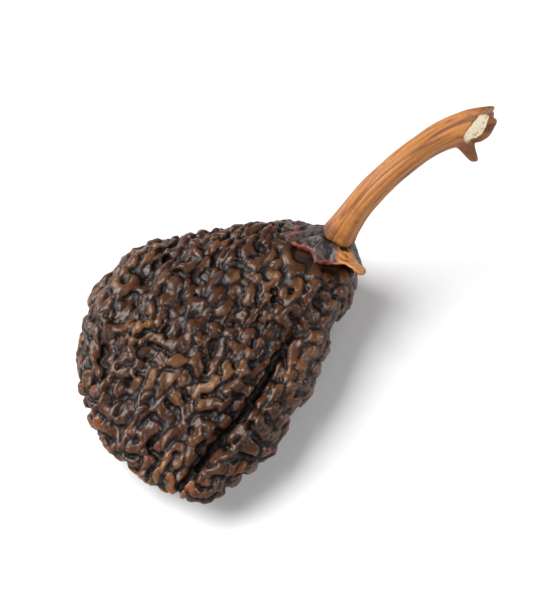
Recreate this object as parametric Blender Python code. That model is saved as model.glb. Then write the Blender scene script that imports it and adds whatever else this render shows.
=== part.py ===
"""A dried mulato chile, lying on its broad side: the wrinkled pod, the lobed calyx and the curved stem.

All sizes are in metres. +Z is up, the origin is on the flat spot that the pod rests on, and +X runs from the
pod's blunt tip to its stem.
"""

import math

import bmesh
import bpy
import numpy as np
from mathutils import Vector, noise
from mathutils.bvhtree import BVHTree

# The pod's outline from above: how far it reaches from its middle, every 22.5 degrees, starting at the stem
# end and going round by the left-hand side.
OUTLINE = (
    0.0362, 0.0296, 0.0266, 0.0276, 0.0276, 0.0264, 0.0270, 0.0282,
    0.0303, 0.0333, 0.0352, 0.0296, 0.0260, 0.0266, 0.0286, 0.0392,
)
# Height of the upper and of the lower wall over the pod's middle plane, from the tip to the stem end
UPPER_HEIGHTS = (0.0042, 0.0070, 0.0090, 0.0098, 0.0100, 0.0096, 0.0082)
LOWER_HEIGHTS = (0.0040, 0.0068, 0.0084, 0.0088, 0.0088, 0.0090, 0.0082)
# How blunt the pod's thin edge is: 2 is an ellipse, more is blunter
EDGE_POWER = 2.3
# The shoulder round the crown: its place across the pod, how its rise fades sideways and along the pod, its
# rise, how far it leans back with height, and how much fuller the walls are there
CROWN_SIDE = -0.011
CROWN_WIDTH = (0.019, 0.005)
CROWN_RUN = (0.55, 1.0)
CROWN_RISE = 0.0030
CROWN_LEAN = 0.42
CROWN_FULLNESS = 0.6
FULL_RUN = (0.5, 0.95)
# The flat spot that the pod rests on, and how far the rest of its underside draws in
REST_PRESS = 0.0003
REST_RADIUS = 0.0085
REST_FADE = (0.75, 1.5)
UNDER_TUCK = 0.0014
# The sideways sway of the whole pod, stretched across and up
SKEW = 0.0016
SKEW_SIZE = 0.021
SKEW_STRETCH = (1, 2, 4)

# Cells of the pod's grid along its length, across it and through its thickness
GRID = (50, 42, 9)
GRID_TURN = math.radians(10)
EDGE_START = 0.93
PEBBLE_FLATNESS = 0.34
RELAX_STEPS = 60

# Long folds of each wall. Each runs from the tip to the stem end at one share of the half width:
# the share (left is positive), where it starts and ends (tip -1, stem end 1), its height and its width.
# A furrow has a negative height. The deepest is the crease that runs up from the tip's corner.
UPPER_FOLDS = (
    (0.84, -0.55, 0.70, 0.0008, 0.080),
    (0.64, -0.80, 0.80, -0.0012, 0.055),
    (0.46, -0.95, 0.60, 0.0007, 0.090),
    (0.24, -0.70, 0.95, -0.0013, 0.050),
    (0.05, -0.98, 0.85, 0.0008, 0.090),
    (-0.14, -0.90, 0.35, -0.0011, 0.045),
    (-0.35, -0.98, 0.95, 0.0013, 0.075),
    (-0.476, -1.05, 0.62, -0.0031, 0.040),
    (-0.60, -0.98, 0.90, 0.0012, 0.075),
    (-0.79, -0.75, 0.60, -0.0011, 0.050),
)
LOWER_FOLDS = (
    (0.70, -0.85, 0.75, -0.0011, 0.055),
    (0.42, -0.95, 0.90, 0.0007, 0.090),
    (-0.48, -0.95, 0.90, -0.0016, 0.050),
    (-0.66, -0.90, 0.75, 0.0008, 0.090),
    (-0.82, -0.70, 0.70, -0.0009, 0.050),
)
FOLD_FADE = 0.22
# How much farther out the upper wall's right-hand folds lie, from the tip to the stem end
RIGHT_SPREAD = (0.06, 0.25, 0.52, 0.55, 0.53, 0.57, 0.60)
WALL_FADE = (-0.1, 0.9)
SWELL_HEIGHT = 0.0010
SWELL_SIZE = 0.016
# The raised net: its height, the width and length of its pads, how sharp its valleys are, where its middle
# level lies, and how strongly and how widely its lines wander
NET_HEIGHT = 0.0026
NET_SIZE = 0.0047
NET_STRETCH = 1.55
NET_VALLEY = 0.13
NET_MIDDLE = 0.6
NET_WANDER = 0.45
NET_WANDER_SIZE = 1.5
RELIEF_SOFTENING = 0.15
# Room for relief: full where a wall is this far from the middle plane, and the share left at the thin edge;
# and, in calyx radiuses from the crown, where it fades, and the share left under the calyx
EDGE_ROOM = 0.0036
EDGE_SHARE = 0.35
CROWN_FADE = (0.8, 1.5)
CROWN_SHARE = 0.1
EDGE_NOTCH = 0.0024
EDGE_NOTCH_SIZE = 0.0075
EDGE_NOTCH_FADE = (0.2, 1.0)

# Calyx
CALYX_RADIUS = 0.0088
CALYX_LOBES = 7
LOBE_DEPTH = 0.26
LOBE_POINT = 0.7
# How the lobes differ in length: for each wave round the calyx, how many there are, its share and its turn
LOBE_WAVES = ((2, 0.10, 0.6), (3, 0.05, 0.0))
LOBE_LIFT = 0.0006
CURLED_LOBE = 3
CURL_LIFT = 0.0016
CURL_POWER = 12
LIFT_POWER = 4
SKIN_GAP = 0.00035
SKIN_GAP_SLANT = 0.5
CALYX_EDGE = 0.0009
CALYX_RIB = 0.0003
HUB_RADIUS = 0.0040
HUB_FOOT = 1.7
HUB_HEIGHT = 0.0030
CALYX_RINGS = 8
CALYX_SEGMENTS = 60
CROWN_DEPTH = 0.0105
FAR_OUT = 0.042

# Stem
STEM_LENGTH = 0.0445
STEM_RADIUS = 0.0029
STEM_ROOT_FLARE = 0.28
STEM_ROOT_REACH = 0.09
STEM_END_FLARE = 1.25
STEM_END_POWER = 8
STEM_RIBS = 5
STEM_RIB_HEIGHT = 0.07
STEM_STATIONS = 30
STEM_SIDES = 25
# Which way the stem runs, from its root to its end, in degrees: up from the floor, and round from the +X axis
STEM_RISES = (55, 44, 31, 19, 10, 4, -2)
STEM_HEADINGS = (-6, -10, -14, -15, -20, -40, -78)
CUT_STATION = -4
CUT_NORMAL = (-0.10, -0.98, 0.20)
CUT_INSET = 0.0006
CUT_RECESS = 0.0003
CUT_MERGE = 0.0001
SWEEP_MERGE = 0.000001


def clear_scene():
    """Removes every object of the startup scene."""
    for obj in list(bpy.data.objects):
        bpy.data.objects.remove(obj)


def material(name, color, roughness):
    """A plain non-metal surface of one colour."""
    made = bpy.data.materials.new(name)
    made.use_nodes = True
    shader = made.node_tree.nodes["Principled BSDF"]
    shader.inputs["Base Color"].default_value = (*color, 1.0)
    shader.inputs["Roughness"].default_value = roughness
    shader.inputs["Metallic"].default_value = 0.0
    return made


def finish_node(name, body, collection, look):
    """Turns the edited body into a named object of the collection, with one material, facing outwards."""
    bmesh.ops.recalc_face_normals(body, faces=body.faces[:])
    mesh = bpy.data.meshes.new(name)
    body.to_mesh(mesh)
    body.free()
    obj = bpy.data.objects.new(name, mesh)
    collection.objects.link(obj)
    mesh.materials.append(look)
    mesh.shade_smooth()
    return obj


def smoothstep(low, high, value):
    """0 below low, 1 above high, and a smooth rise between."""
    share = np.clip((value - low) / (high - low), 0, 1)
    return share * share * (3 - 2 * share)


def hump(distance, width):
    """A rounded ridge: 1 on its line, falling away over the width."""
    return np.exp(-((distance / width) ** 2))


def smooth_curve(values, place):
    """The smooth curve through evenly spaced values, read at places counted in steps. The ends join up."""
    values = np.asarray(values)
    count = len(values)
    cell = np.floor(place).astype(int)
    step = place - cell
    before, start, end, after = (values[(cell + shift) % count] for shift in (-1, 0, 1, 2))
    return 0.5 * (
        2 * start
        + (end - before) * step
        + (2 * before - 5 * start + 4 * end - after) * step**2
        + (3 * start - before - 3 * end + after) * step**3
    )


def noise_at(points, size, seed):
    """Smooth noise from about -1 to 1, whose bumps are the given size across."""
    shift = Vector((seed * 7.31, seed * 3.17, seed * 5.73))
    return np.array([noise.noise(Vector(p) / size + shift) for p in points])


def gridded_box():
    """A box whose sides are cut into a grid: fine along and across the pod, coarser through its thickness."""
    box = bmesh.new()
    bmesh.ops.create_cube(box, size=2.0)
    for axis, cells in enumerate(GRID):
        along = [edge for edge in box.edges if abs(edge.verts[0].co[axis] - edge.verts[1].co[axis]) > 0]
        bmesh.ops.subdivide_edges(box, edges=along, cuts=cells - 1)
    return box


def round_off(labels):
    """Bends the box's grid points onto a flat pebble with a rounded edge."""
    length, width, layer = labels.T
    disc = np.column_stack([length * np.sqrt(1 - width**2 / 2), width * np.sqrt(1 - length**2 / 2)])
    reach = EDGE_START * np.hypot(*disc.T)
    face_rise = (1 - reach**EDGE_POWER) ** (1 / EDGE_POWER)
    turn = np.array([[math.cos(GRID_TURN), math.sin(GRID_TURN)], [-math.sin(GRID_TURN), math.cos(GRID_TURN)]])
    return np.column_stack([EDGE_START * disc @ turn, layer * face_rise * PEBBLE_FLATNESS])


def on_pebble(points):
    """Moves points straight in or out onto the pebble's surface."""
    reach = np.hypot(points[:, 0], points[:, 1])
    size = reach**EDGE_POWER + np.abs(points[:, 2] / PEBBLE_FLATNESS) ** EDGE_POWER
    return points / (size ** (1 / EDGE_POWER))[:, None]


def neighbour_mean(body, values):
    """For each grid point, the mean of the values at the points next to it."""
    ends = np.array([[vertex.index for vertex in edge.verts] for edge in body.edges])
    ends = np.vstack([ends, ends[:, ::-1]])
    total = np.zeros_like(values)
    np.add.at(total, ends[:, 0], values[ends[:, 1]])
    return total / np.bincount(ends[:, 0])[:, None]


def spread_evenly(body, points):
    """Slides the grid points over the pebble until their spacing is even."""
    for _ in range(RELAX_STEPS):
        points = on_pebble((points + neighbour_mean(body, points)) / 2)
    return points


def pod_form(pebble):
    """The pod without its folds: the pebble stretched to the outline and to the height of each wall."""
    angle = np.arctan2(pebble[:, 1], pebble[:, 0]) % (2 * math.pi)
    radius = smooth_curve(OUTLINE, angle / (2 * math.pi) * len(OUTLINE))
    x = pebble[:, 0] * radius
    y = pebble[:, 1] * radius
    along = np.clip((x / OUTLINE[0] + 1) / 2, 0, 1)
    stations = np.linspace(0, 1, len(UPPER_HEIGHTS))
    rise = pebble[:, 2] / PEBBLE_FLATNESS
    rise = rise * (1 + CROWN_FULLNESS * smoothstep(*FULL_RUN, along) * (1 - rise**2))
    upper = np.interp(along, stations, UPPER_HEIGHTS)
    lower = np.interp(along, stations, LOWER_HEIGHTS)
    z = rise * np.where(rise > 0, upper, lower)
    near_crown = smoothstep(*CROWN_RUN, along) * smoothstep(*CROWN_WIDTH, np.abs(y - CROWN_SIDE))
    z = z + CROWN_RISE * near_crown
    x = x - CROWN_LEAN * near_crown * z
    y = y + SKEW * noise_at(np.column_stack([x, y, z]) / SKEW_STRETCH, SKEW_SIZE, 3)
    return np.column_stack([x, y, z])


def fold_height(labels):
    """Height of the long folds and of the deep crease, on the wall that each point belongs to."""
    length, width, layer = labels.T
    spread_right = 1 + np.interp(length, np.linspace(-1, 1, len(RIGHT_SPREAD)), RIGHT_SPREAD)
    height = np.zeros(len(labels))
    for folds, wall, right in ((UPPER_FOLDS, layer, spread_right), (LOWER_FOLDS, -layer, 1)):
        weight = smoothstep(*WALL_FADE, wall)
        for place, start, end, rise, spread in folds:
            run = smoothstep(start, start + FOLD_FADE, length) * smoothstep(end, end - FOLD_FADE, length)
            middle = place * right if place < 0 else place
            height += rise * weight * run * hump(width - middle, spread)
    return height


def net_height(labels):
    """The raised net of wrinkles: rounded pads, longer along the pod, with narrow valleys between them."""
    flat = labels * [OUTLINE[0] / NET_STRETCH, OUTLINE[4], UPPER_HEIGHTS[0] * 2]
    bend = np.column_stack([noise_at(flat, NET_SIZE * NET_WANDER_SIZE, seed) for seed in (11, 12, 13)])
    pads = np.abs(noise_at(flat + NET_WANDER * NET_SIZE * bend, NET_SIZE, 21))
    return NET_HEIGHT * (1 - np.exp(-pads / NET_VALLEY) - NET_MIDDLE)


def edge_height(labels):
    """Notches along the pod's thin edge, where the two walls are drawn together."""
    flat = labels * [OUTLINE[0], OUTLINE[4], 0]
    rim = 1 - smoothstep(*EDGE_NOTCH_FADE, np.abs(labels[:, 2]))
    return EDGE_NOTCH * rim * noise_at(flat, EDGE_NOTCH_SIZE, 41)


def relief_share(form):
    """The share of the relief that each point takes: little at the edge and crown, none at the rest spot."""
    room = np.interp(np.abs(form[:, 2]), (0, EDGE_ROOM), (EDGE_SHARE, 1))
    crown = form[np.argmax(form @ stem_axis(0))]
    from_crown = np.linalg.norm(form - crown, axis=1) / CALYX_RADIUS
    clear_of_calyx = CROWN_SHARE + (1 - CROWN_SHARE) * smoothstep(*CROWN_FADE, from_crown)
    from_spot = np.hypot(form[:, 0], form[:, 1]) / REST_RADIUS
    clear_of_spot = np.where(form[:, 2] < 0, smoothstep(*REST_FADE, from_spot), 1)
    return room * clear_of_calyx * clear_of_spot


def build_pod(collection):
    """The pod: an even pebble stretched to the pod's form, then given its folds and wrinkles."""
    body = gridded_box()
    body.verts.index_update()
    labels = np.array([vertex.co for vertex in body.verts])
    form = pod_form(spread_evenly(body, on_pebble(round_off(labels))))
    for vertex, point in zip(body.verts, form):
        vertex.co = point
    bmesh.ops.recalc_face_normals(body, faces=body.faces[:])
    body.normal_update()
    normals = np.array([vertex.normal for vertex in body.verts])

    relief = fold_height(labels) + net_height(labels) + edge_height(labels)
    relief += SWELL_HEIGHT * noise_at(form, SWELL_SIZE, 31)
    relief -= UNDER_TUCK * smoothstep(0, 1, -labels[:, 2])
    relief = (relief * relief_share(form))[:, None]
    relief += RELIEF_SOFTENING * (neighbour_mean(body, relief) - relief)
    points = form + normals * relief

    floor = form[:, 2].min() + REST_PRESS
    points[:, 2] = np.maximum(points[:, 2], floor) - floor
    for vertex, point in zip(body.verts, points):
        vertex.co = point
    return finish_node("pod", body, collection, material("pod_skin", (0.035, 0.016, 0.011), 0.38))


def stem_axis(share):
    """Which way the stem runs, at a share of its length."""
    stations = np.linspace(0, 1, len(STEM_RISES))
    rise = math.radians(np.interp(share, stations, STEM_RISES))
    heading = math.radians(np.interp(share, stations, STEM_HEADINGS))
    return Vector((math.cos(rise) * math.cos(heading), math.cos(rise) * math.sin(heading), math.sin(rise)))


def crown_frame(pod):
    """The calyx's seat: the pod's furthest point along the stem, with the stem's axis and two side axes."""
    axis = stem_axis(0)
    seat = max((vertex.co for vertex in pod.data.vertices), key=axis.dot).copy()
    left = Vector((0, 0, 1)).cross(axis).normalized()
    return seat, axis, left, axis.cross(left)


def lobe_reach(turn):
    """How far the calyx reaches in a direction: pointed lobes of uneven length."""
    notch = abs(math.sin(CALYX_LOBES * turn / 2)) ** LOBE_POINT
    uneven = sum(share * math.sin(count * turn + start) for count, share, start in LOBE_WAVES)
    return (1 - LOBE_DEPTH * notch) * (1 + uneven)


def lobe_lift(turn):
    """How far the calyx's edge stands off the pod in a direction. One lobe curls up more than the rest."""
    own = math.cos(turn - CURLED_LOBE * 2 * math.pi / CALYX_LOBES)
    tip = 1 - abs(math.sin(CALYX_LOBES * turn / 2))
    return LOBE_LIFT * tip + CURL_LIFT * max(own, 0) ** CURL_POWER


def calyx_rays(frame):
    """The directions of the calyx's grid, out from a point inside the crown: a list of rings."""
    seat, axis, left, up = frame
    rings = []
    for ring in range(1, CALYX_RINGS + 1):
        share = ring / CALYX_RINGS
        rays = []
        for segment in range(CALYX_SEGMENTS):
            turn = 2 * math.pi * segment / CALYX_SEGMENTS
            bend = share * lobe_reach(turn) * CALYX_RADIUS / CROWN_DEPTH
            side = left * math.cos(turn) + up * math.sin(turn)
            rays.append((share, turn, axis * math.cos(bend) + side * math.sin(bend)))
        rings.append(rays)
    return rings


def build_calyx(collection, pod, frame):
    """The calyx: a thin lobed cap that follows the crown at a small gap, with a thick hub under the stem."""
    seat, axis, left, up = frame
    pod_tree = BVHTree.FromPolygons(
        [vertex.co for vertex in pod.data.vertices], [face.vertices for face in pod.data.polygons]
    )
    heart = seat - axis * CROWN_DEPTH
    hub = seat + axis * (SKIN_GAP + HUB_HEIGHT)
    body = bmesh.new()
    inner_rings, outer_rings = [], []
    for rays in calyx_rays(frame):
        inner, outer = [], []
        for share, turn, ray in rays:
            skin = pod_tree.ray_cast(heart + ray * FAR_OUT, -ray)[0]
            lift = SKIN_GAP / max(ray.dot(axis), SKIN_GAP_SLANT) + lobe_lift(turn) * share**LIFT_POWER
            low = skin + ray * lift
            rib = CALYX_RIB * abs(math.cos(CALYX_LOBES * turn / 2)) * share
            high = low + ray * (CALYX_EDGE + rib)
            side = left * math.cos(turn) + up * math.sin(turn)
            out = share * CALYX_RADIUS * lobe_reach(turn)
            plate = hub + side * out
            blend = float(smoothstep(HUB_RADIUS, HUB_FOOT * HUB_RADIUS, out))
            inner.append(body.verts.new(low))
            outer.append(body.verts.new(plate.lerp(high, blend)))
        inner_rings.append(inner)
        outer_rings.append(outer)
    inner_pole = body.verts.new(seat + axis * SKIN_GAP)
    outer_pole = body.verts.new(hub)
    for segment in range(CALYX_SEGMENTS):
        after = (segment + 1) % CALYX_SEGMENTS
        for rings, pole in ((inner_rings, inner_pole), (outer_rings, outer_pole)):
            body.faces.new((pole, rings[0][segment], rings[0][after]))
            for near, far in zip(rings, rings[1:]):
                body.faces.new((near[segment], far[segment], far[after], near[after]))
        low, high = inner_rings[-1], outer_rings[-1]
        body.faces.new((low[segment], high[segment], high[after], low[after]))
    return finish_node("calyx", body, collection, material("calyx_skin", (0.085, 0.035, 0.028), 0.55))


def stem_path(frame):
    """Points along the middle of the stem, each with its share of the radius."""
    seat, axis = frame[:2]
    place = seat + axis * (2 * SKIN_GAP + HUB_HEIGHT)
    step = STEM_LENGTH / STEM_STATIONS
    points = []
    for station in range(STEM_STATIONS + 1):
        share = station / STEM_STATIONS
        root = STEM_ROOT_FLARE * math.exp(-share / STEM_ROOT_REACH)
        flare = 1 + root + STEM_END_FLARE * share**STEM_END_POWER
        points.append((place.copy(), flare))
        place = place + stem_axis(share) * step
    return points


def ring_curve(name, points, cyclic):
    """A curve object through the points, each of them given with its radius."""
    curve = bpy.data.curves.new(name, "CURVE")
    curve.dimensions = "3D"
    spline = curve.splines.new("POLY")
    spline.points.add(len(points) - 1)
    for slot, (place, radius) in zip(spline.points, points):
        slot.co = (*place, 1.0)
        slot.radius = radius
    spline.use_cyclic_u = cyclic
    obj = bpy.data.objects.new(name, curve)
    obj.hide_render = True
    obj.display_type = "WIRE"
    return obj


def swept_stem(collection, frame):
    """The whole stem before it is cut: a ribbed profile swept along the stem's path, as editable geometry."""
    sides = []
    for side in range(STEM_SIDES):
        turn = 2 * math.pi * side / STEM_SIDES
        radius = STEM_RADIUS * (1 + STEM_RIB_HEIGHT * math.cos(STEM_RIBS * turn))
        sides.append(((radius * math.cos(turn), radius * math.sin(turn), 0.0), 1.0))
    profile = ring_curve("stem_profile_guide", sides, True)
    path = ring_curve("stem_path_guide", stem_path(frame), False)
    path.data.bevel_mode = "OBJECT"
    path.data.bevel_object = profile
    path.data.use_fill_caps = True
    for guide in (profile, path):
        collection.objects.link(guide)
    bpy.context.view_layer.update()
    depsgraph = bpy.context.evaluated_depsgraph_get()
    swept = bpy.data.meshes.new_from_object(path.evaluated_get(depsgraph))
    body = bmesh.new()
    body.from_mesh(swept)
    bmesh.ops.remove_doubles(body, verts=body.verts[:], dist=SWEEP_MERGE)
    for guide in (path, profile):
        bpy.data.objects.remove(guide)
    bpy.data.meshes.remove(swept)
    return body


def build_stem(collection, frame):
    """The stem: ribbed and curved, flared at both ends, cut off at a slant with a slightly sunken face."""
    body = swept_stem(collection, frame)
    path = stem_path(frame)
    normal = Vector(CUT_NORMAL).normalized()
    cut = bmesh.ops.bisect_plane(
        body,
        geom=body.verts[:] + body.edges[:] + body.faces[:],
        plane_co=path[CUT_STATION][0],
        plane_no=normal,
        clear_outer=True,
    )
    corners = [item for item in cut["geom_cut"] if isinstance(item, bmesh.types.BMVert)]
    bmesh.ops.remove_doubles(body, verts=corners, dist=CUT_MERGE)
    rim = [edge for edge in body.edges if edge.is_boundary]
    face = bmesh.ops.contextual_create(body, geom=rim)["faces"]
    bmesh.ops.inset_region(body, faces=face, thickness=CUT_INSET, depth=0.0)
    for vertex in face[0].verts:
        vertex.co -= normal * CUT_RECESS
    return finish_node("stem", body, collection, material("stem_bark", (0.46, 0.21, 0.065), 0.6))


def main():
    """Builds the chile in a collection of its own."""
    clear_scene()
    collection = bpy.data.collections.new("mulato_chile")
    bpy.context.scene.collection.children.link(collection)
    pod = build_pod(collection)
    frame = crown_frame(pod)
    build_calyx(collection, pod, frame)
    build_stem(collection, frame)


main()
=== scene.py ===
"""The dried mulato chile as it looks: a wrinkled pod, a lobed calyx and a ribbed stem, on a pale floor."""
import logging
import math
from dataclasses import dataclass, field
from enum import Enum

import bpy
import numpy as np
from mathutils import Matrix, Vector, kdtree, noise


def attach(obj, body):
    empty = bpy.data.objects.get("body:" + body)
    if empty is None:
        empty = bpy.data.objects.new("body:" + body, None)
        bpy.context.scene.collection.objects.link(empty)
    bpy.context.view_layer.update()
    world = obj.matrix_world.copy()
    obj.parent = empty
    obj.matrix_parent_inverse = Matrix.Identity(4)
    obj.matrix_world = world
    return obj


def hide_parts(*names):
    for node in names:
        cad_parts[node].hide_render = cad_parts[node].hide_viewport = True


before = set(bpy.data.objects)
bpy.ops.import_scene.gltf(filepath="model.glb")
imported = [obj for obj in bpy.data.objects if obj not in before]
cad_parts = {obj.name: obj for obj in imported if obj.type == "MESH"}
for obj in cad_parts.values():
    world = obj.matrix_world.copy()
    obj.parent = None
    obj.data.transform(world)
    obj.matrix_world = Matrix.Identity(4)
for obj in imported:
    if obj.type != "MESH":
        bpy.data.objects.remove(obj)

logging.basicConfig(level=logging.INFO, format="%(message)s")
log = logging.getLogger("mulato_chile")

Color = tuple[float, float, float]
Triple = tuple[float, float, float]
Span = tuple[float, float]
MERGE = 0.00001
TINY = 1e-12
EVEN: Triple = (1.0, 1.0, 1.0)
PATTERN_STEP: Triple = (5.17, 2.71, 8.39)


class Layer(Enum):
    """Names of the values that a mesh carries on its vertices for its finish to read."""

    # High on raised parts and low in hollows; the finishes darken the hollows with it as painted shade.
    CREST = "crest"
    EDGE = "edge"
    PITH = "pith"
    TAN = "tan"


class Pattern(Enum):
    """Which of the noise's patterns a feature follows, so that no two follow the same one."""

    CRINKLE = 3
    FURROWS = 4
    HEIGHTS = 5
    KNOBS = 6
    STREAKS = 8
    PLEATS = 9
    PITS = 12
    WIDTHS = 14
    SWAY = 17


@dataclass(frozen=True)
class Mottle:
    """Patches of smooth noise: bumps to the metre, finer layers, and what becomes 0 and 1."""

    scale: float
    detail: float
    low: float
    high: float
    stretch: Triple = EVEN


@dataclass(frozen=True)
class Pores:
    """A fine roughness: bumps to the metre, and their height in metres."""

    scale: float
    height: float
    stretch: Triple = EVEN
    detail: float = 4.0


class Graph:
    """A material's node graph, built one node at a time around its Principled shader."""

    def __init__(self, name: str) -> None:
        """Starts a material.

        Args:
            name: the material's name.
        """
        self.material = bpy.data.materials.new(name)
        self.material.use_nodes = True
        self.tree = self.material.node_tree
        self.shader = self.tree.nodes["Principled BSDF"]

    def add(self, kind: str, inputs: dict | None = None, **settings: object) -> bpy.types.Node:
        """Adds a node.

        Args:
            kind: the node's type name.
            inputs: for each input, by name or number, a value or the output socket that feeds it.
            **settings: the node's own properties.

        Returns:
            The new node.
        """
        node = self.tree.nodes.new(kind)
        for key, value in settings.items():
            setattr(node, key, value)
        for key, value in (inputs or {}).items():
            self.feed(node.inputs[key], value)
        return node

    def feed(self, socket: bpy.types.NodeSocket, value: object) -> None:
        """Sets a socket.

        Args:
            socket: the input to set.
            value: a plain value, or the output socket to link to it.
        """
        if isinstance(value, bpy.types.NodeSocket):
            self.tree.links.new(value, socket)
        else:
            socket.default_value = value

    def layer(self, name: Layer) -> bpy.types.NodeSocket:
        """The value that the mesh carries under this name."""
        return self.add("ShaderNodeAttribute", attribute_name=name.value).outputs["Fac"]

    def place(self) -> bpy.types.NodeSocket:
        """The point's place on the object, in metres."""
        return self.add("ShaderNodeTexCoord").outputs["Object"]

    def grain(self, scale: float, detail: float, stretch: Triple) -> bpy.types.NodeSocket:
        """Smooth noise over the object.

        Args:
            scale: bumps to the metre.
            detail: how many finer layers are added.
            stretch: scale of the pattern along X, Y and Z.

        Returns:
            The noise, from 0 to 1.
        """
        mapped = self.add("ShaderNodeMapping", {"Vector": self.place(), "Scale": stretch})
        inputs = {"Vector": mapped.outputs["Vector"], "Scale": scale, "Detail": detail}
        return self.add("ShaderNodeTexNoise", inputs).outputs["Fac"]

    def ramp(self, value: bpy.types.NodeSocket, low: float, high: float) -> bpy.types.NodeSocket:
        """Stretches a value so that low becomes 0 and high becomes 1.

        Args:
            value: the value to stretch.
            low: what becomes 0.
            high: what becomes 1.

        Returns:
            The stretched value, smoothed at both ends.
        """
        inputs = {"Value": value, "From Min": low, "From Max": high}
        return self.add("ShaderNodeMapRange", inputs, interpolation_type="SMOOTHSTEP").outputs["Result"]

    def mottle(self, patches: Mottle) -> bpy.types.NodeSocket:
        """Patches of noise, from 0 to 1."""
        return self.ramp(self.grain(patches.scale, patches.detail, patches.stretch), patches.low, patches.high)

    def product(self, first: object, second: object) -> bpy.types.NodeSocket:
        """Two values multiplied."""
        return self.add("ShaderNodeMath", {0: first, 1: second}, operation="MULTIPLY").outputs[0]

    def mix(self, share: object, first: object, second: object) -> bpy.types.NodeSocket:
        """A blend of two colours.

        Args:
            share: 0 gives the first colour, 1 the second.
            first: a colour or a colour socket.
            second: a colour or a colour socket.

        Returns:
            The blended colour.
        """
        sockets = bpy.types.NodeSocket
        colours = [value if isinstance(value, sockets) else (*value, 1.0) for value in (first, second)]
        node = self.add("ShaderNodeMix", {0: share, 6: colours[0], 7: colours[1]}, data_type="RGBA")
        return node.outputs[2]

    def roughen(self, pores: Pores) -> None:
        """Roughens the surface.

        Args:
            pores: the roughness.
        """
        height = self.grain(pores.scale, pores.detail, pores.stretch)
        node = self.add("ShaderNodeBump", {"Height": height, "Distance": pores.height, "Strength": 1.0})
        self.feed(self.shader.inputs["Normal"], node.outputs["Normal"])


@dataclass(frozen=True)
class PodSkin:
    """Dried pod skin: near-black in the furrows as painted shade, glossy brown on the crests, rust-red where it
    is thin.
    """

    # The near-black of the furrows is painted shade.
    furrow_painted_shade: Color = (0.0052, 0.0013, 0.0005)
    crest: Color = (0.060, 0.0235, 0.0115)
    rust: Color = (0.230, 0.056, 0.015)
    ochre: Color = (0.200, 0.088, 0.028)
    crest_span: Span = (0.30, 1.0)
    high_span: Span = (0.50, 1.0)
    shiny_span: Span = (0.15, 0.75)
    patches: Mottle = Mottle(110.0, 4.0, 0.50, 0.66, (0.45, 1.0, 1.0))
    flecks: Mottle = Mottle(330.0, 3.0, 0.46, 0.62)
    wear: Mottle = Mottle(520.0, 3.0, 0.15, 0.60)
    pores: Pores = Pores(1500.0, 0.00014, (0.6, 1.0, 1.0))
    ochre_share: float = 0.60
    rust_share: float = 0.85
    dull: float = 0.52
    shiny: float = 0.25
    specular: float = 0.36

    def material(self) -> bpy.types.Material:
        """Builds the finish.

        Returns:
            The material.
        """
        graph = Graph("pod_skin")
        crest = graph.layer(Layer.CREST)
        # Near-black where the crest value is low: painted shade in the furrows and the crease.
        tone = graph.mix(graph.ramp(crest, *self.crest_span), self.furrow_painted_shade, self.crest)
        high = graph.ramp(crest, *self.high_span)
        patches = graph.product(graph.mottle(self.patches), high)
        tone = graph.mix(graph.product(patches, self.ochre_share), tone, self.ochre)
        thin = graph.product(graph.product(graph.layer(Layer.EDGE), graph.mottle(self.flecks)), high)
        tone = graph.mix(graph.product(thin, self.rust_share), tone, self.rust)
        graph.feed(graph.shader.inputs["Base Color"], tone)
        wear = graph.product(graph.ramp(crest, *self.shiny_span), graph.mottle(self.wear))
        inputs = {"Value": wear, "To Min": self.dull, "To Max": self.shiny}
        graph.feed(graph.shader.inputs["Roughness"], graph.add("ShaderNodeMapRange", inputs).outputs["Result"])
        graph.shader.inputs["Specular IOR Level"].default_value = self.specular
        graph.roughen(self.pores)
        return graph.material


@dataclass(frozen=True)
class CalyxSkin:
    """Dry calyx skin: dark purplish brown with painted shade in its pits and folds and lighter raised pleats,
    thin rust-red lobe edges and one tan lobe.
    """

    dark: Color = (0.012, 0.007, 0.0075)
    light: Color = (0.070, 0.043, 0.040)
    rust: Color = (0.235, 0.055, 0.024)
    tan: Color = (0.460, 0.180, 0.042)
    crest_span: Span = (0.25, 0.85)
    edge_span: Span = (0.25, 0.9)
    tan_span: Span = (0.0, 0.5)
    flecks: Mottle = Mottle(420.0, 3.0, 0.38, 0.58)
    pores: Pores = Pores(1100.0, 0.00016)
    rust_share: float = 0.9
    roughness: float = 0.46

    def material(self) -> bpy.types.Material:
        """Builds the finish.

        Returns:
            The material.
        """
        graph = Graph("calyx_skin")
        crest = graph.layer(Layer.CREST)
        # Dark where the crest value is low, lighter on raised pleats and pit rims: painted shade in the pits
        # and folds.
        tone = graph.mix(graph.ramp(crest, *self.crest_span), self.dark, self.light)
        edge = graph.product(graph.ramp(graph.layer(Layer.EDGE), *self.edge_span), graph.mottle(self.flecks))
        tone = graph.mix(graph.product(edge, self.rust_share), tone, self.rust)
        pale = graph.product(graph.layer(Layer.TAN), graph.ramp(crest, *self.tan_span))
        tone = graph.mix(pale, tone, self.tan)
        graph.feed(graph.shader.inputs["Base Color"], tone)
        graph.shader.inputs["Roughness"].default_value = self.roughness
        graph.roughen(self.pores)
        return graph.material


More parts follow.
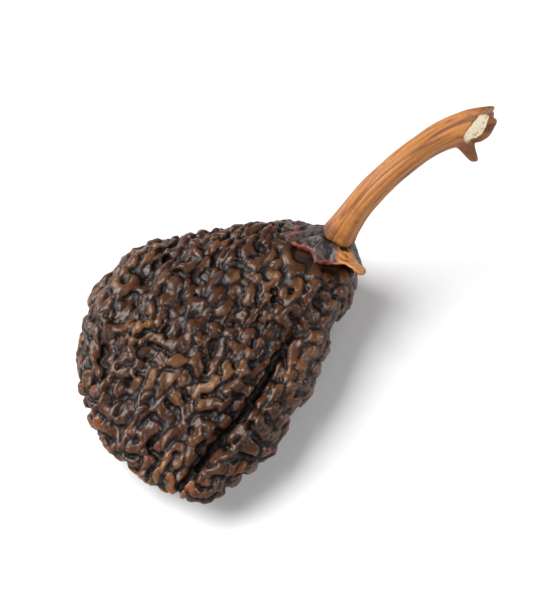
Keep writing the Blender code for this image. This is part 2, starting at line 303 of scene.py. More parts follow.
@dataclass(frozen=True)
class StemBark:
    """Dry stem bark: tan on the raised bark and darker in the lengthwise furrows, partly its own streaks and
    partly painted shade, brown at its ends, and cream where it is cut.
    """

    tan: Color = (0.43, 0.160, 0.032)
    brown: Color = (0.175, 0.054, 0.012)
    dark: Color = (0.060, 0.017, 0.005)
    cream: Color = (0.95, 0.84, 0.60)
    straw: Color = (0.50, 0.27, 0.095)
    streak_and_shade_span: Span = (0.20, 0.70)
    patches: Mottle = Mottle(150.0, 4.0, 0.54, 0.72)
    specks: Mottle = Mottle(900.0, 2.0, 0.62, 0.74)
    stains: Mottle = Mottle(260.0, 3.0, 0.25, 0.55)
    fibres: Mottle = Mottle(1000.0, 4.0, 0.52, 0.72)
    pores: Pores = Pores(1500.0, 0.00014)
    patch_share: float = 0.55
    speck_share: float = 0.45
    stain_share: float = 0.85
    roughness: float = 0.55

    def material(self) -> bpy.types.Material:
        """Builds the finish.

        Returns:
            The material.
        """
        graph = Graph("stem_bark")
        # Brown where the bark is sunk, tan where it is raised: partly the bark's own streaks, partly painted
        # shade.
        streaks = graph.ramp(graph.layer(Layer.CREST), *self.streak_and_shade_span)
        tone = graph.mix(streaks, self.brown, self.tan)
        tone = graph.mix(graph.product(graph.mottle(self.patches), self.patch_share), tone, self.brown)
        tone = graph.mix(graph.product(graph.mottle(self.specks), self.speck_share), tone, self.dark)
        ends = graph.product(graph.layer(Layer.EDGE), graph.mottle(self.stains))
        tone = graph.mix(graph.product(ends, self.stain_share), tone, self.dark)
        pith = graph.mix(graph.mottle(self.fibres), self.cream, self.straw)
        tone = graph.mix(graph.layer(Layer.PITH), tone, pith)
        graph.feed(graph.shader.inputs["Base Color"], tone)
        graph.shader.inputs["Roughness"].default_value = self.roughness
        graph.roughen(self.pores)
        return graph.material


def select_only(obj: bpy.types.Object | None) -> None:
    """Makes an object the active one, and the only one selected.

    Args:
        obj: the object, or nothing to deselect them all.
    """
    for other in bpy.context.selected_objects:
        other.select_set(False)
    if obj:
        obj.select_set(True)
    bpy.context.view_layer.objects.active = obj


def finish_piece(obj: bpy.types.Object, node: str) -> None:
    """Smooths a piece, hangs it under the root body and hides the solid that it replaces.

    Args:
        obj: the piece.
        node: the solid that it replaces.
    """
    select_only(obj)
    bpy.ops.object.shade_smooth()
    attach(obj, "root")
    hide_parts(node)


def apply_modifier(obj: bpy.types.Object, kind: str, **settings: object) -> None:
    """Adds a modifier to an object and applies it.

    Args:
        obj: the object.
        kind: the modifier's type.
        **settings: the modifier's properties.
    """
    modifier = obj.modifiers.new(kind.title(), kind)
    for key, value in settings.items():
        setattr(modifier, key, value)
    select_only(obj)
    bpy.ops.object.modifier_apply(modifier=modifier.name)


def merged_copy(node: str, name: str) -> bpy.types.Object:
    """Copies a solid of the frame and joins its loose triangles.

    Args:
        node: the solid's name.
        name: the copy's name.

    Returns:
        The copy, with a mesh of its own.
    """
    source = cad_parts[node]
    copy = bpy.data.objects.new(name, source.data.copy())
    bpy.context.scene.collection.objects.link(copy)
    copy.data.materials.clear()
    select_only(copy)
    bpy.ops.object.mode_set(mode="EDIT")
    bpy.ops.mesh.select_all(action="SELECT")
    bpy.ops.mesh.remove_doubles(threshold=MERGE)
    bpy.ops.object.mode_set(mode="OBJECT")
    return copy


def points_of(obj: bpy.types.Object) -> np.ndarray:
    """The places of a mesh's vertices.

    Args:
        obj: the object.

    Returns:
        One row for each vertex.
    """
    flat = np.empty(len(obj.data.vertices) * 3)
    obj.data.vertices.foreach_get("co", flat)
    return flat.reshape(-1, 3)


def normals_of(obj: bpy.types.Object) -> np.ndarray:
    """The outward directions at a mesh's vertices.

    Args:
        obj: the object.

    Returns:
        One row for each vertex.
    """
    flat = np.empty(len(obj.data.vertices) * 3)
    obj.data.vertex_normals.foreach_get("vector", flat)
    return flat.reshape(-1, 3)


def move_points(obj: bpy.types.Object, points: np.ndarray) -> None:
    """Puts a mesh's vertices in new places.

    Args:
        obj: the object.
        points: one row for each vertex.
    """
    obj.data.vertices.foreach_set("co", points.ravel())
    obj.data.update()


def set_layer(obj: bpy.types.Object, name: Layer, values: np.ndarray) -> None:
    """Stores a value on each vertex.

    Args:
        obj: the object.
        name: what the values mean.
        values: one for each vertex.
    """
    store = obj.data.attributes.get(name.value) or obj.data.attributes.new(name.value, "FLOAT", "POINT")
    store.data.foreach_set("value", values.astype(np.float32))


def get_layer(obj: bpy.types.Object, name: Layer) -> np.ndarray:
    """The values stored on a mesh's vertices.

    Args:
        obj: the object.
        name: what the values mean.

    Returns:
        One for each vertex.
    """
    values = np.empty(len(obj.data.vertices), dtype=np.float32)
    obj.data.attributes[name.value].data.foreach_get("value", values)
    return values.astype(float)


def noise_at(points: np.ndarray, size: float, pattern: Pattern) -> np.ndarray:
    """Smooth noise from about -1 to 1.

    Args:
        points: where it is read.
        size: how wide its bumps are.
        pattern: which of its patterns it is.

    Returns:
        One value for each point.
    """
    shift = Vector([pattern.value * step for step in PATTERN_STEP])
    return np.array([noise.noise(Vector(point) / size + shift) for point in points])


def squeeze(rows: np.ndarray, stretch: float, grain: float) -> np.ndarray:
    """Shrinks places or spans along the skin's grain, so that an even pattern comes out longer that way.

    Args:
        rows: one row of three for each, in any number of dimensions.
        stretch: how much longer than wide the pattern comes out.
        grain: the grain's turn from the X axis.

    Returns:
        The shrunk rows.
    """
    along = np.array([math.cos(grain), math.sin(grain), 0])
    return rows - (1 - 1 / stretch) * (rows @ along)[..., None] * along


def smoothstep(low: float, high: float, value: np.ndarray) -> np.ndarray:
    """A smooth rise from 0 to 1.

    Args:
        low: where it starts.
        high: where it ends.
        value: where it is read.

    Returns:
        The shares.
    """
    share = np.clip((value - low) / (high - low), 0, 1)
    return share * share * (3 - 2 * share)


class Web:
    """The links between a mesh's vertices, for spreading values over its surface."""

    def __init__(self, obj: bpy.types.Object) -> None:
        """Lists each vertex's neighbours in a table.

        Args:
            obj: the object.
        """
        edges = np.empty(len(obj.data.edges) * 2, dtype=np.int64)
        obj.data.edges.foreach_get("vertices", edges)
        edges = edges.reshape(-1, 2)
        ends = np.vstack([edges, edges[:, ::-1]])
        ends = ends[np.argsort(ends[:, 0], kind="stable")]
        self.count = np.bincount(ends[:, 0], minlength=len(obj.data.vertices))
        first = np.concatenate([[0], np.cumsum(self.count)[:-1]])
        slot = np.arange(len(ends)) - first[ends[:, 0]]
        self.table = np.repeat(np.arange(len(self.count))[:, None], self.count.max(), axis=1)
        self.table[ends[:, 0], slot] = ends[:, 1]

    def mean(self, values: np.ndarray) -> np.ndarray:
        """The mean of each vertex's neighbours.

        Args:
            values: one number or row for each vertex.

        Returns:
            The means, in the same form.
        """
        extra = (self.table.shape[1] - self.count).reshape(-1, *[1] * (values.ndim - 1))
        total = values[self.table].sum(axis=1) - extra * values
        return total / self.count.reshape(-1, *[1] * (values.ndim - 1))

    def smooth(self, values: np.ndarray, passes: int) -> np.ndarray:
        """Evens out values over the surface.

        Args:
            values: one number or row for each vertex.
            passes: how many times each is drawn halfway to its neighbours.

        Returns:
            The evened values.
        """
        for _ in range(passes):
            values = (values + self.mean(values)) / 2
        return values


@dataclass
class Wrinkles:
    """The pattern that a drying skin buckles into: rounded crests of even width with narrow furrows.

    It is grown on the mesh itself from a little noise. A wave of one width is fed and all others die out.
    The drive is how strongly that wave is fed, and the lift gathers the crests into pads. The shortest links
    between vertices are held to the given quantile, and the margin keeps each step short enough to be stable.
    """

    width: float
    stretch: float = 1.5
    grain: float = math.radians(10)
    drive: float = 0.55
    lift: float = 0.95
    vary: float = 0.22
    vary_size: float = 0.009
    start: float = 0.3
    step: float = 0.018
    steps: int = 2600
    quantile: float = 0.9
    margin: float = 1.8
    seed: int = 7

    def grow(self, obj: bpy.types.Object, web: Web) -> np.ndarray:
        """Grows the pattern.

        Args:
            obj: the object whose surface it covers.
            web: the links between its vertices.

        Returns:
            For each vertex, the height from about -1 in a furrow to 1 on a crest.
        """
        places = points_of(obj)
        span = squeeze(places[web.table] - places[:, None, :], self.stretch, self.grain)
        reach = (span**2).sum(axis=2)
        width = self.width * (1 + self.vary * noise_at(places, self.vary_size, Pattern.WIDTHS))[:, None]
        unit = (2 * math.pi / width) ** 2
        weight = np.where(reach > 0, 1 / np.maximum(reach, TINY), 0) / unit
        weight = np.minimum(weight, np.quantile(weight[weight > 0], self.quantile))
        weight[reach == 0] = 0
        total = weight.sum(axis=1)

        def curl(values: np.ndarray) -> np.ndarray:
            """One plus the surface's own second derivative, in units of the wave."""
            return values + (weight * values[web.table]).sum(axis=1) - total * values

        height = np.random.default_rng(self.seed).normal(0, self.start, len(places))
        limit = self.margin / (1 + (2 * total.max()) ** 2)
        step = min(self.step, limit)
        for _ in range(self.steps):
            push = (self.drive + self.lift * height - height**2) * height
            height = height + step * (push - curl(curl(height)))
        return height


@dataclass
class Pod:
    """The wrinkled pod: a fine copy of its solid, with the small wrinkles grown over its folds.

    A level is the height of a pattern that stays at the solid's own skin. A span is where a share rises from
    0 to 1. The crease is a line of places along and across the pod, seen from above. The skin is thin at the
    tip and at the rim, whose place is a share of the pod's height.
    """

    finish: PodSkin = field(default_factory=PodSkin)
    voxel: float = 0.00070
    wrinkles: Wrinkles = field(default_factory=lambda: Wrinkles(0.0033))
    wrinkle_height: float = 0.00100
    wrinkle_level: float = 0.80
    wrinkle_tails: Span = (0.02, 0.98)
    roundness: float = 4.6
    height_least: float = 0.70
    height_vary: float = 0.6
    height_size: float = 0.011
    height_span: Span = (-0.5, 0.5)
    streak_depth: float = 0.55
    streak_size: float = 0.0048
    streak_stretch: float = 5.0
    streak_width: float = 0.06
    crease: tuple[tuple[float, float], ...] = (
        (-0.0300, -0.0186), (-0.0210, -0.0191), (-0.0120, -0.0190), (-0.0030, -0.0186), (0.0060, -0.0167),
        (0.0120, -0.0160),
    )
    crease_depth: float = 0.0012
    crease_width: Span = (0.0001, 0.0009)
    crease_sway: float = 0.0005
    crease_sway_size: float = 0.004
    crease_start: float = 0.002
    crease_end: float = 0.008
    crease_floor: float = 0.006
    crinkle_height: float = 0.00036
    crinkle_level: float = 0.25
    crinkle_size: float = 0.0017
    crinkle_stretch: float = 1.4
    clear_of_calyx: Span = (0.0012, 0.0035)
    least_room: float = 0.15
    hollow_span: Span = (-0.0006, 0.0005)
    hollow_passes: int = 60
    painted_crease_shade: float = 0.9
    rim_place: float = 0.45
    rim_width: float = 0.005
    rim_reach: Span = (0.021, 0.027)
    tip_length: float = 0.010
    thin_all_over: float = 0.10
    thin_rim: float = 0.80
    thin_tip: float = 0.7

    def build(self) -> bpy.types.Object:
        """Builds the pod.

        Returns:
            The finished piece.
        """
        pod = merged_copy("pod", "pod_skin")
        apply_modifier(pod, "REMESH", mode="VOXEL", voxel_size=self.voxel)
        web = Web(pod)
        pattern = self.wrinkles.grow(pod, web)
        set_layer(pod, Layer.CREST, pattern)
        apply_modifier(pod, "SUBSURF", levels=1, render_levels=1)
        self.wrinkle(pod)
        self.dress(pod)
        return pod

    def wrinkle(self, pod: bpy.types.Object) -> None:
        """Raises the grown wrinkles and a finer crinkle out of the skin, with long furrows and the deep crease,
        and marks the low skin and the crease for painted shade.

        Args:
            pod: the fine copy, which carries the grown wrinkles.
        """
        pattern = get_layer(pod, Layer.CREST)
        low, high = np.quantile(pattern, self.wrinkle_tails)
        rounded = 1 - (1 - np.clip((pattern - low) / (high - low), 0, 1)) ** self.roundness
        places, normals, web = points_of(pod), normals_of(pod), Web(pod)
        drawn = squeeze(places, self.streak_stretch, self.wrinkles.grain)
        streaks = np.abs(noise_at(drawn, self.streak_size, Pattern.STREAKS))
        height = rounded - self.streak_depth * np.exp(-streaks / self.streak_width)
        deep = self.near_crease(places)
        crinkle = np.abs(noise_at(places / [self.crinkle_stretch, 1, 1], self.crinkle_size, Pattern.CRINKLE))
        swell = smoothstep(*self.height_span, noise_at(places, self.height_size, Pattern.HEIGHTS))
        vary = self.height_least + self.height_vary * swell
        lift = self.wrinkle_height * vary * (height - self.wrinkle_level) * (1 - deep)
        lift += self.crinkle_height * (crinkle - self.crinkle_level)
        lift -= self.crease_depth * deep
        places = places + normals * (lift * self.room(pod, places))[:, None]
        places[:, 2] = np.maximum(places[:, 2], 0)
        move_points(pod, places)
        hollow = self.hollow(web, places, normals_of(pod))
        # Low in the furrows and lower still in the crease, where the finish paints shade.
        crest = (0.5 * height + 0.5 * smoothstep(*self.hollow_span, hollow)) * (1 - self.painted_crease_shade * deep)
        set_layer(pod, Layer.CREST, np.clip(crest, 0, 1))

    def near_crease(self, places: np.ndarray) -> np.ndarray:
        """How near points of the upper wall lie to the line of the crease.

        Args:
            places: the points.

        Returns:
            Shares from 0 far off to 1 on the line.
        """
        along, across = np.array(self.crease).T
        sway = self.crease_sway * noise_at(places * [1, 0, 0], self.crease_sway_size, Pattern.SWAY)
        aside = np.abs(places[:, 1] + sway - np.interp(places[:, 0], along, across))
        ends = smoothstep(along[0] - self.crease_start, along[0] + self.crease_start, places[:, 0])
        ends *= 1 - smoothstep(along[-1] - self.crease_end, along[-1], places[:, 0])
        return (1 - smoothstep(*self.crease_width, aside)) * ends * (places[:, 2] > self.crease_floor)

    def room(self, pod: bpy.types.Object, places: np.ndarray) -> np.ndarray:
        """How much of the small wrinkles each point takes, so that they stay clear of the calyx.

        Args:
            pod: the pod; not used.
            places: its vertices.

        Returns:
            Shares from 0 to 1.
        """
        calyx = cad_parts["calyx"].data.vertices
        tree = kdtree.KDTree(len(calyx))
        for vertex in calyx:
            tree.insert(vertex.co, vertex.index)
        tree.balance()
        gap = np.array([tree.find(place)[2] for place in places])
        return self.least_room + (1 - self.least_room) * smoothstep(*self.clear_of_calyx, gap)

    def hollow(self, web: Web, places: np.ndarray, normals: np.ndarray) -> np.ndarray:
        """How far each point stands above the skin around it.

        Args:
            web: the links between the vertices.
            places: the vertices.
            normals: their outward directions.

        Returns:
            Heights in metres, negative in a furrow.
        """
        around = web.smooth(places, self.hollow_passes)
        return ((places - around) * normals).sum(axis=1)

    def dress(self, pod: bpy.types.Object) -> None:
        """Marks the thin parts of the skin and gives the pod its finish.

        Args:
            pod: the shaped pod.
        """
        places = points_of(pod)
        rim_height = self.rim_place * (places[:, 2].max() + places[:, 2].min())
        rim = 1 - smoothstep(0.0, self.rim_width, np.abs(places[:, 2] - rim_height))
        rim *= smoothstep(*self.rim_reach, np.hypot(places[:, 0], places[:, 1]))
        tip = 1 - smoothstep(0.0, self.tip_length, places[:, 0] - places[:, 0].min())
        thin = self.thin_all_over + self.thin_rim * rim + self.thin_tip * tip
        set_layer(pod, Layer.EDGE, np.clip(thin, 0, 1))
        pod.data.materials.append(self.finish.material())
        finish_piece(pod, "pod")


@dataclass
class StemLine:
    """The line that the stem follows: which way it runs, and how thick it is, at each share of its length.

    Rises and headings are in degrees, evenly spaced from the root to the end.
    """

    length: float = 0.0445
    radius: float = 0.0029
    rises: tuple[float, ...] = (55, 44, 31, 19, 10, 4, -2)
    headings: tuple[float, ...] = (-6, -10, -14, -15, -20, -40, -78)
    root_flare: float = 0.28
    root_reach: float = 0.09
    end_flare: float = 1.25
    end_power: float = 8
    steps: int = 240
    cut_share: float = 27 / 30
    cut_normal: Vector = field(default_factory=lambda: Vector((-0.10, -0.98, 0.20)).normalized())

    def heading(self, share: float) -> Vector:
        """Which way the line runs.

        Args:
            share: where, as a share of the length.

        Returns:
            The direction.
        """
        stations = np.linspace(0, 1, len(self.rises))
        rise = math.radians(np.interp(share, stations, self.rises))
        turn = math.radians(np.interp(share, stations, self.headings))
        return Vector((math.cos(rise) * math.cos(turn), math.cos(rise) * math.sin(turn), math.sin(rise)))

    def thickness(self, share: np.ndarray) -> np.ndarray:
        """How thick the stem is.

        Args:
            share: where, as shares of the length.

        Returns:
            The radiuses.
        """
        share = np.maximum(share, 0)
        root = self.root_flare * np.exp(-share / self.root_reach)
        return self.radius * (1 + root + self.end_flare * share**self.end_power)

    def root(self) -> Vector:
        """Finds where the line starts.

        Returns:
            The middle of the solid stem's root.
        """
        points = points_of(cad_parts["stem"])
        depth = points @ np.array(self.heading(0))
        return Vector(points[depth < depth.min() + MERGE].mean(axis=0))

    def points(self) -> np.ndarray:
        """Walks along the line.

        Returns:
            Evenly spaced points, one row each.
        """
        step = self.length / self.steps
        places = [self.root()]
        for number in range(self.steps):
            places.append(places[-1] + self.heading(number / self.steps) * step)
        return np.array(places)


@dataclass
class Calyx:
    """The lobed cap between pod and stem: a fine copy of its solid with pleats, pits and rust-red edges.

    The tan lobe and its curl each have a width, which is a span of the cosine of the turn away from the lobe,
    and a reach, which is a span of the way out from the stem.
    """

    line: StemLine
    finish: CalyxSkin = field(default_factory=CalyxSkin)
    radius: float = 0.0088
    crown_depth: float = 0.0105
    root_height: float = 0.0037
    lobes: int = 7
    notch_depth: float = 0.26
    notch_power: float = 0.7
    broad_wave: float = 0.10
    broad_turn: float = 0.6
    narrow_wave: float = 0.05
    pleat_height: float = 0.00040
    pleat_level: float = 0.6
    pleat_size: float = 0.0021
    pleat_shade: float = 0.6
    pit_height: float = 0.00022
    pit_level: float = 0.3
    pit_size: float = 0.0011
    pit_shade: float = 0.9
    rough_span: Span = (0.15, 0.5)
    edge_span: Span = (0.80, 0.98)
    tan_turn: float = math.radians(155)
    tan_width: Span = (0.86, 0.95)
    tan_reach: Span = (0.22, 0.40)
    tan_curl: tuple[float, float] = (0.0030, 0.0016)
    curl_width: Span = (0.80, 0.98)
    curl_reach: Span = (0.30, 0.9)

    def build(self) -> bpy.types.Object:
        """Builds the calyx.

        Returns:
            The finished piece.
        """
        calyx = merged_copy("calyx", "calyx_skin")
        apply_modifier(calyx, "SUBSURF", levels=2, render_levels=2)
        places = points_of(calyx)
        turn, share = self.lobe_place(places)
        pleats = 1 - np.abs(noise_at(places, self.pleat_size, Pattern.PLEATS)) * 2
        pits = np.abs(noise_at(places, self.pit_size, Pattern.PITS))
        lift = self.pleat_height * (pleats - self.pleat_level) + self.pit_height * (pits - self.pit_level)
        outer = smoothstep(*self.rough_span, share)
        curl = self.curl(turn, share)
        move_points(calyx, places + normals_of(calyx) * (lift * outer)[:, None] + curl)
        self.dress(calyx, turn, share, pleats, pits)
        return calyx

    def lobe_place(self, places: np.ndarray) -> tuple[np.ndarray, np.ndarray]:
        """Where points lie on the star that the calyx makes.

        Args:
            places: the points.

        Returns:
            Their turn about the stem, and how far out they are, as shares of the way to the lobes' tips.
        """
        axis = self.line.heading(0)
        left = Vector((0, 0, 1)).cross(axis).normalized()
        heart = self.line.root() - axis * (self.root_height + self.crown_depth)
        rays = places - np.array(heart)
        ahead, aside, above = (rays @ np.array(way) for way in (axis, left, axis.cross(left)))
        bend = np.arctan2(np.hypot(aside, above), ahead)
        return np.arctan2(above, aside), bend * self.crown_depth / self.radius

    def curl(self, turn: np.ndarray, share: np.ndarray) -> np.ndarray:
        """How far the tan lobe stands off the pod: up along the stem, and outwards.

        Args:
            turn: each vertex's turn about the stem.
            share: how far out each vertex is.

        Returns:
            The moves, one row for each vertex.
        """
        axis = self.line.heading(0)
        left = Vector((0, 0, 1)).cross(axis).normalized()
        side = left * math.cos(self.tan_turn) + axis.cross(left) * math.sin(self.tan_turn)
        beside = smoothstep(*self.curl_width, np.cos(turn - self.tan_turn))
        amount = beside * smoothstep(*self.curl_reach, share)
        rise, reach = self.tan_curl
        return amount[:, None] * np.array(axis * rise + side * reach)

    def dress(
        self, calyx: bpy.types.Object, turn: np.ndarray, share: np.ndarray, pleats: np.ndarray,
        pits: np.ndarray,
    ) -> None:
        """Marks the lobes' edges and the tan lobe, and gives the calyx its finish.

        Args:
            calyx: the shaped calyx.
            turn: each vertex's turn about the stem.
            share: how far out each vertex is.
            pleats: height of the pleats.
            pits: height of the small pits' rims.
        """
        notch = np.abs(np.sin(self.lobes * turn / 2)) ** self.notch_power
        reach = 1 + self.broad_wave * np.sin(2 * turn + self.broad_turn) + self.narrow_wave * np.sin(3 * turn)
        reach = (1 - self.notch_depth * notch) * reach
        tan = smoothstep(*self.tan_width, np.cos(turn - self.tan_turn)) * smoothstep(*self.tan_reach, share)
        set_layer(calyx, Layer.EDGE, smoothstep(*self.edge_span, share / reach))
        set_layer(calyx, Layer.TAN, tan)
        # Raised pleats and pit rims get a high value; the finish paints the low pits and folds dark as shade.
        set_layer(calyx, Layer.CREST, np.clip(self.pleat_shade * pleats + self.pit_shade * pits, 0, 1))
        calyx.data.materials.append(self.finish.material())
        finish_piece(calyx, "calyx")


@dataclass
class Stem:
    """The stem: a cylinder bent along its line, ribbed, flared at both ends and cut off at a slant.

    Each ring of the cut face is given by its scale to the one before, its rise from it and its step aside.
    """

    line: StemLine
    finish: StemBark = field(default_factory=StemBark)
    sides: int = 72
    rings: int = 150
    ribs: int = 5
    rib_height: float = 0.055
    rib_twist: float = 0.5
    rib_twists: float = 3
    furrow_height: float = 0.00012
    furrow_level: float = 0.5
    furrow_size: float = 0.0009
    furrow_stretch: float = 14
    knob_height: float = 0.00022
    knob_size: float = 0.0045
    knob_stretch: float = 1.5
    sink: float = 0.0006
    base_shade: float = 0.25
    furrow_shade: float = 1.6
    rib_shade: float = 2
    end_span: Span = (0.80, 0.94)
    end_shade: float = 0.8
    collar_length: float = 0.09
    lip_rings: tuple[Triple, ...] = (
        (0.96, 0.00035, 0.0), (0.90, 0.00005, 0.0002), (0.84, -0.00060, 0.0008),
    )
    core_rings: tuple[Triple, ...] = (
        (0.95, -0.00045, 0.0), (0.90, 0.00030, 0.0), (0.80, 0.00015, 0.0), (0.70, -0.00020, 0.0),
        (0.55, -0.00035, 0.0), (0.40, -0.00010, 0.0),
    )
    lip_shade: float = 0.25
    tongue_side: Vector = field(default_factory=lambda: Vector((-0.55, 0.0, -0.83)))
    tongue_reach: Vector = field(default_factory=lambda: Vector((-0.0004, -0.0029, -0.0027)))
    tongue_width: float = 0.0023
    round_side: Vector = field(default_factory=lambda: Vector((0.90, 0.0, 0.40)))
    round_reach: Vector = field(default_factory=lambda: Vector((-0.0014, 0.0006, -0.0004)))
    round_width: float = 0.0032
    drag_core: float = 0.35

    def build(self) -> bpy.types.Object:
        """Builds the stem.

        Returns:
            The finished piece.
        """
        stem = self.rod()
        self.bend(stem)
        self.cut(stem)
        apply_modifier(stem, "SUBSURF", levels=1, render_levels=1)
        stem.data.materials.append(self.finish.material())
        finish_piece(stem, "stem")
        return stem

    def rod(self) -> bpy.types.Object:
        """A straight rod along Z from 0 to 1, with closed ends and even rings.

        Returns:
            The rod.
        """
        select_only(None)
        bpy.ops.mesh.primitive_cylinder_add(
            vertices=self.sides, radius=1.0, depth=1.0, end_fill_type="NGON", location=(0, 0, 0.5)
        )
        rod = bpy.context.active_object
        rod.name = rod.data.name = "stem_bark"
        bpy.ops.object.transform_apply(location=True)
        bpy.ops.object.mode_set(mode="EDIT")
        bpy.ops.mesh.select_mode(type="EDGE")
        bpy.ops.mesh.select_all(action="DESELECT")
        bpy.ops.object.mode_set(mode="OBJECT")
        for edge in rod.data.edges:
            low, high = (rod.data.vertices[number].co.z for number in edge.vertices)
            edge.select = abs(high - low) > 0.5
        bpy.ops.object.mode_set(mode="EDIT")
        bpy.ops.mesh.subdivide(number_cuts=self.rings - 1)
        bpy.ops.object.mode_set(mode="OBJECT")
        return rod

    def bend(self, stem: bpy.types.Object) -> None:
        """Bends the rod along its line and raises its ribs, furrows and knobs.

        Args:
            stem: the straight rod.
        """
        rod = points_of(stem)
        share, turn = rod[:, 2], np.arctan2(rod[:, 1], rod[:, 0])
        path = self.line.points()
        stop = share * self.line.steps
        spots = np.column_stack([np.interp(stop, range(len(path)), axis) for axis in path.T])
        ahead = np.array([self.line.heading(value) for value in share])
        side = np.cross([0.0, 0.0, 1.0], ahead)
        side /= np.linalg.norm(side, axis=1)[:, None]
        over = np.cross(ahead, side)
        around = side * np.cos(turn)[:, None] + over * np.sin(turn)[:, None]
        flat = np.column_stack([np.cos(turn), np.sin(turn)]) * self.line.radius
        along = share * self.line.length
        drawn = np.column_stack([flat, along / self.furrow_stretch])
        furrows = np.abs(noise_at(drawn, self.furrow_size, Pattern.FURROWS))
        knobs = noise_at(np.column_stack([flat, along / self.knob_stretch]), self.knob_size, Pattern.KNOBS)
        ribs = self.rib_height * np.cos(self.ribs * turn + self.rib_twist * np.sin(self.rib_twists * share))
        radius = self.line.thickness(share) * (1 + ribs)
        radius = radius + self.furrow_height * (furrows * 2 - self.furrow_level) + self.knob_height * knobs
        hub = np.linalg.norm(rod[:, :2], axis=1)
        places = spots + around * (radius * hub)[:, None]
        root = share <= 0
        places[root] -= ahead[root] * self.sink
        move_points(stem, places)
        # High on raised ribs and furrow ridges, low where the bark is sunk; the finish paints the sunk bark
        # brown, partly its own streaks and partly painted shade.
        shade = self.base_shade + furrows * self.furrow_shade + self.rib_shade * ribs
        set_layer(stem, Layer.CREST, np.clip(shade, 0, 1))
        rim = smoothstep(*self.end_span, share) * self.end_shade
        collar = 1 - smoothstep(0.0, self.collar_length, share)
        set_layer(stem, Layer.EDGE, np.maximum(rim, collar))

    def cut(self, stem: bpy.types.Object) -> None:
        """Cuts the stem off at a slant and works the cut face into a lip of bark and a sunken core.

        Args:
            stem: the bent stem.
        """
        index = round(self.line.cut_share * self.line.steps)
        place = Vector(self.line.points()[index])
        facing = self.line.cut_normal
        level = Vector((0, 0, 1)).cross(facing).normalized()
        select_only(stem)
        bpy.ops.object.mode_set(mode="EDIT")
        bpy.ops.mesh.select_all(action="SELECT")
        bpy.ops.mesh.bisect(plane_co=place, plane_no=facing, use_fill=True, clear_outer=True)
        bpy.ops.mesh.select_mode(type="FACE")
        bpy.ops.object.mode_set(mode="OBJECT")
        face = next(face for face in stem.data.polygons if face.select)
        rim = points_of(stem)[list(face.vertices)]
        middle = Vector((rim.max(axis=0) + rim.min(axis=0)) / 2)
        outer = len(stem.data.vertices)
        bpy.ops.object.mode_set(mode="EDIT")
        for scale, rise, aside in self.lip_rings + self.core_rings:
            shift = facing * rise - level * aside
            bpy.ops.mesh.extrude_region()
            bpy.ops.transform.resize(value=(scale, scale, scale), center_override=middle)
            bpy.ops.transform.translate(value=shift)
            middle += shift
        bpy.ops.mesh.poke()
        bpy.ops.object.mode_set(mode="OBJECT")
        ring = (np.arange(len(stem.data.vertices)) - outer) // len(rim)
        set_layer(stem, Layer.PITH, (ring > len(self.lip_rings)).astype(float))
        set_layer(stem, Layer.EDGE, np.where(ring < 0, get_layer(stem, Layer.EDGE), self.lip_shade))
        every = np.ones(len(ring), dtype=bool)
        bark = ring < len(self.lip_rings)
        self.drag(stem, rim, self.round_side, self.round_reach, self.round_width, every)
        self.drag(stem, rim, self.tongue_side, self.tongue_reach, self.tongue_width, bark)

    def drag(
        self, stem: bpy.types.Object, rim: np.ndarray, side: Vector, reach: Vector, width: float,
        moved: np.ndarray,
    ) -> None:
        """Draws the end of the stem out, or in, round one corner of its cut.

        Args:
            stem: the cut stem.
            rim: the corners of the cut's outline.
            side: which way the corner lies.
            reach: how far the corner goes.
            width: how far from the corner the vertices still follow it.
            moved: which vertices may follow it.
        """
        corner = rim[np.argmax(rim @ np.array(side))]
        places = points_of(stem)
        pull = 1 - smoothstep(self.drag_core * width, width, np.linalg.norm(places - corner, axis=1))
        move_points(stem, places + (pull * moved)[:, None] * np.array(reach))


@dataclass(frozen=True)
class Lamp:
    """A square soft light: its name, where it hangs, its side in metres and its power in watts."""

    name: str
    place: Triple
    size: float
    power: float


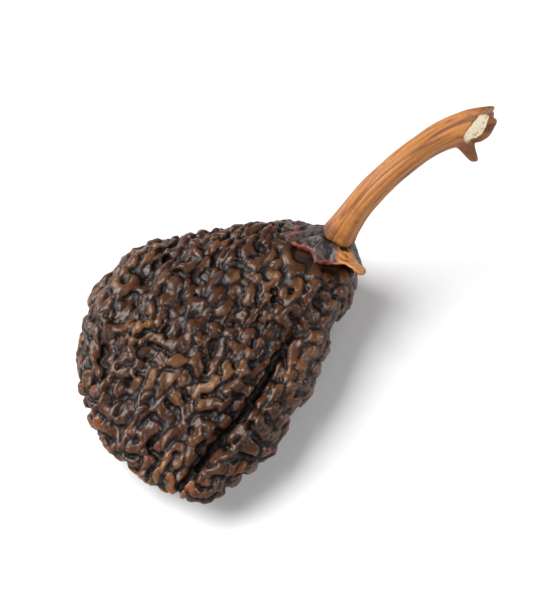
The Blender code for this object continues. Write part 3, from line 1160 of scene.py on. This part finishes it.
@dataclass
class Studio:
    """A pale floor, soft lights and a camera that looks down on the chile as the photograph does."""

    azimuth: float = math.radians(-50)
    elevation: float = math.radians(62)
    lens: float = 85.0
    distance: float = 0.305
    aim: Vector = field(default_factory=lambda: Vector((0.0165, -0.0045, 0.0125)))
    lamps: tuple[Lamp, ...] = (
        Lamp("key", (-0.16, 0.38, 0.52), 0.50, 7.8),
        Lamp("fill", (-0.42, -0.32, 0.42), 0.30, 1.0),
        Lamp("side", (0.30, -0.42, 0.30), 0.16, 1.1),
    )
    floor_size: float = 6.0
    floor_tone: Color = (0.86, 0.86, 0.86)
    floor_roughness: float = 0.9
    sky_tone: Color = (0.95, 0.97, 1.0)
    sky_strength: float = 0.11

    def forward(self) -> Vector:
        """Finds which way the camera looks.

        Returns:
            The direction.
        """
        flat = math.cos(self.elevation)
        left, ahead = -math.sin(self.azimuth) * flat, math.cos(self.azimuth) * flat
        return Vector((left, ahead, -math.sin(self.elevation)))

    def build(self) -> None:
        """Builds the floor, the lights and the camera."""
        self.floor()
        self.world()
        for lamp in self.lamps:
            self.light(lamp)
        self.camera()

    def floor(self) -> None:
        """Lays the floor."""
        bpy.ops.mesh.primitive_plane_add(size=self.floor_size, location=(0, 0, 0))
        floor = bpy.context.active_object
        floor.name = "floor"
        graph = Graph("floor")
        graph.shader.inputs["Base Color"].default_value = (*self.floor_tone, 1)
        graph.shader.inputs["Roughness"].default_value = self.floor_roughness
        floor.data.materials.append(graph.material)

    def world(self) -> None:
        """Sets the even light that comes from all round."""
        world = bpy.data.worlds.new("studio")
        world.use_nodes = True
        sky = world.node_tree.nodes["Background"]
        sky.inputs["Color"].default_value = (*self.sky_tone, 1)
        sky.inputs["Strength"].default_value = self.sky_strength
        bpy.context.scene.world = world
        bpy.context.scene.view_settings.view_transform = "Standard"

    def light(self, lamp: Lamp) -> None:
        """Hangs a light that faces the chile.

        Args:
            lamp: the light.
        """
        bpy.ops.object.light_add(type="AREA", location=lamp.place)
        light = bpy.context.active_object
        light.name = lamp.name
        light.data.size = lamp.size
        light.data.energy = lamp.power
        light.rotation_euler = (self.aim - Vector(lamp.place)).to_track_quat("-Z", "Y").to_euler()

    def camera(self) -> None:
        """Sets up the camera."""
        forward = self.forward()
        bpy.ops.object.camera_add(location=self.aim - forward * self.distance)
        camera = bpy.context.active_object
        camera.rotation_euler = forward.to_track_quat("-Z", "Y").to_euler()
        camera.data.lens = self.lens
        bpy.context.scene.camera = camera


def main() -> None:
    """Builds each piece in turn and notes how many faces it has, then builds the studio."""
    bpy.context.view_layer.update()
    line = StemLine()
    for maker in (Pod(), Calyx(line), Stem(line)):
        piece = maker.build()
        log.info("%s: %d faces", piece.name, len(piece.data.polygons))
    Studio().build()


if __name__ == "__main__":
    main()
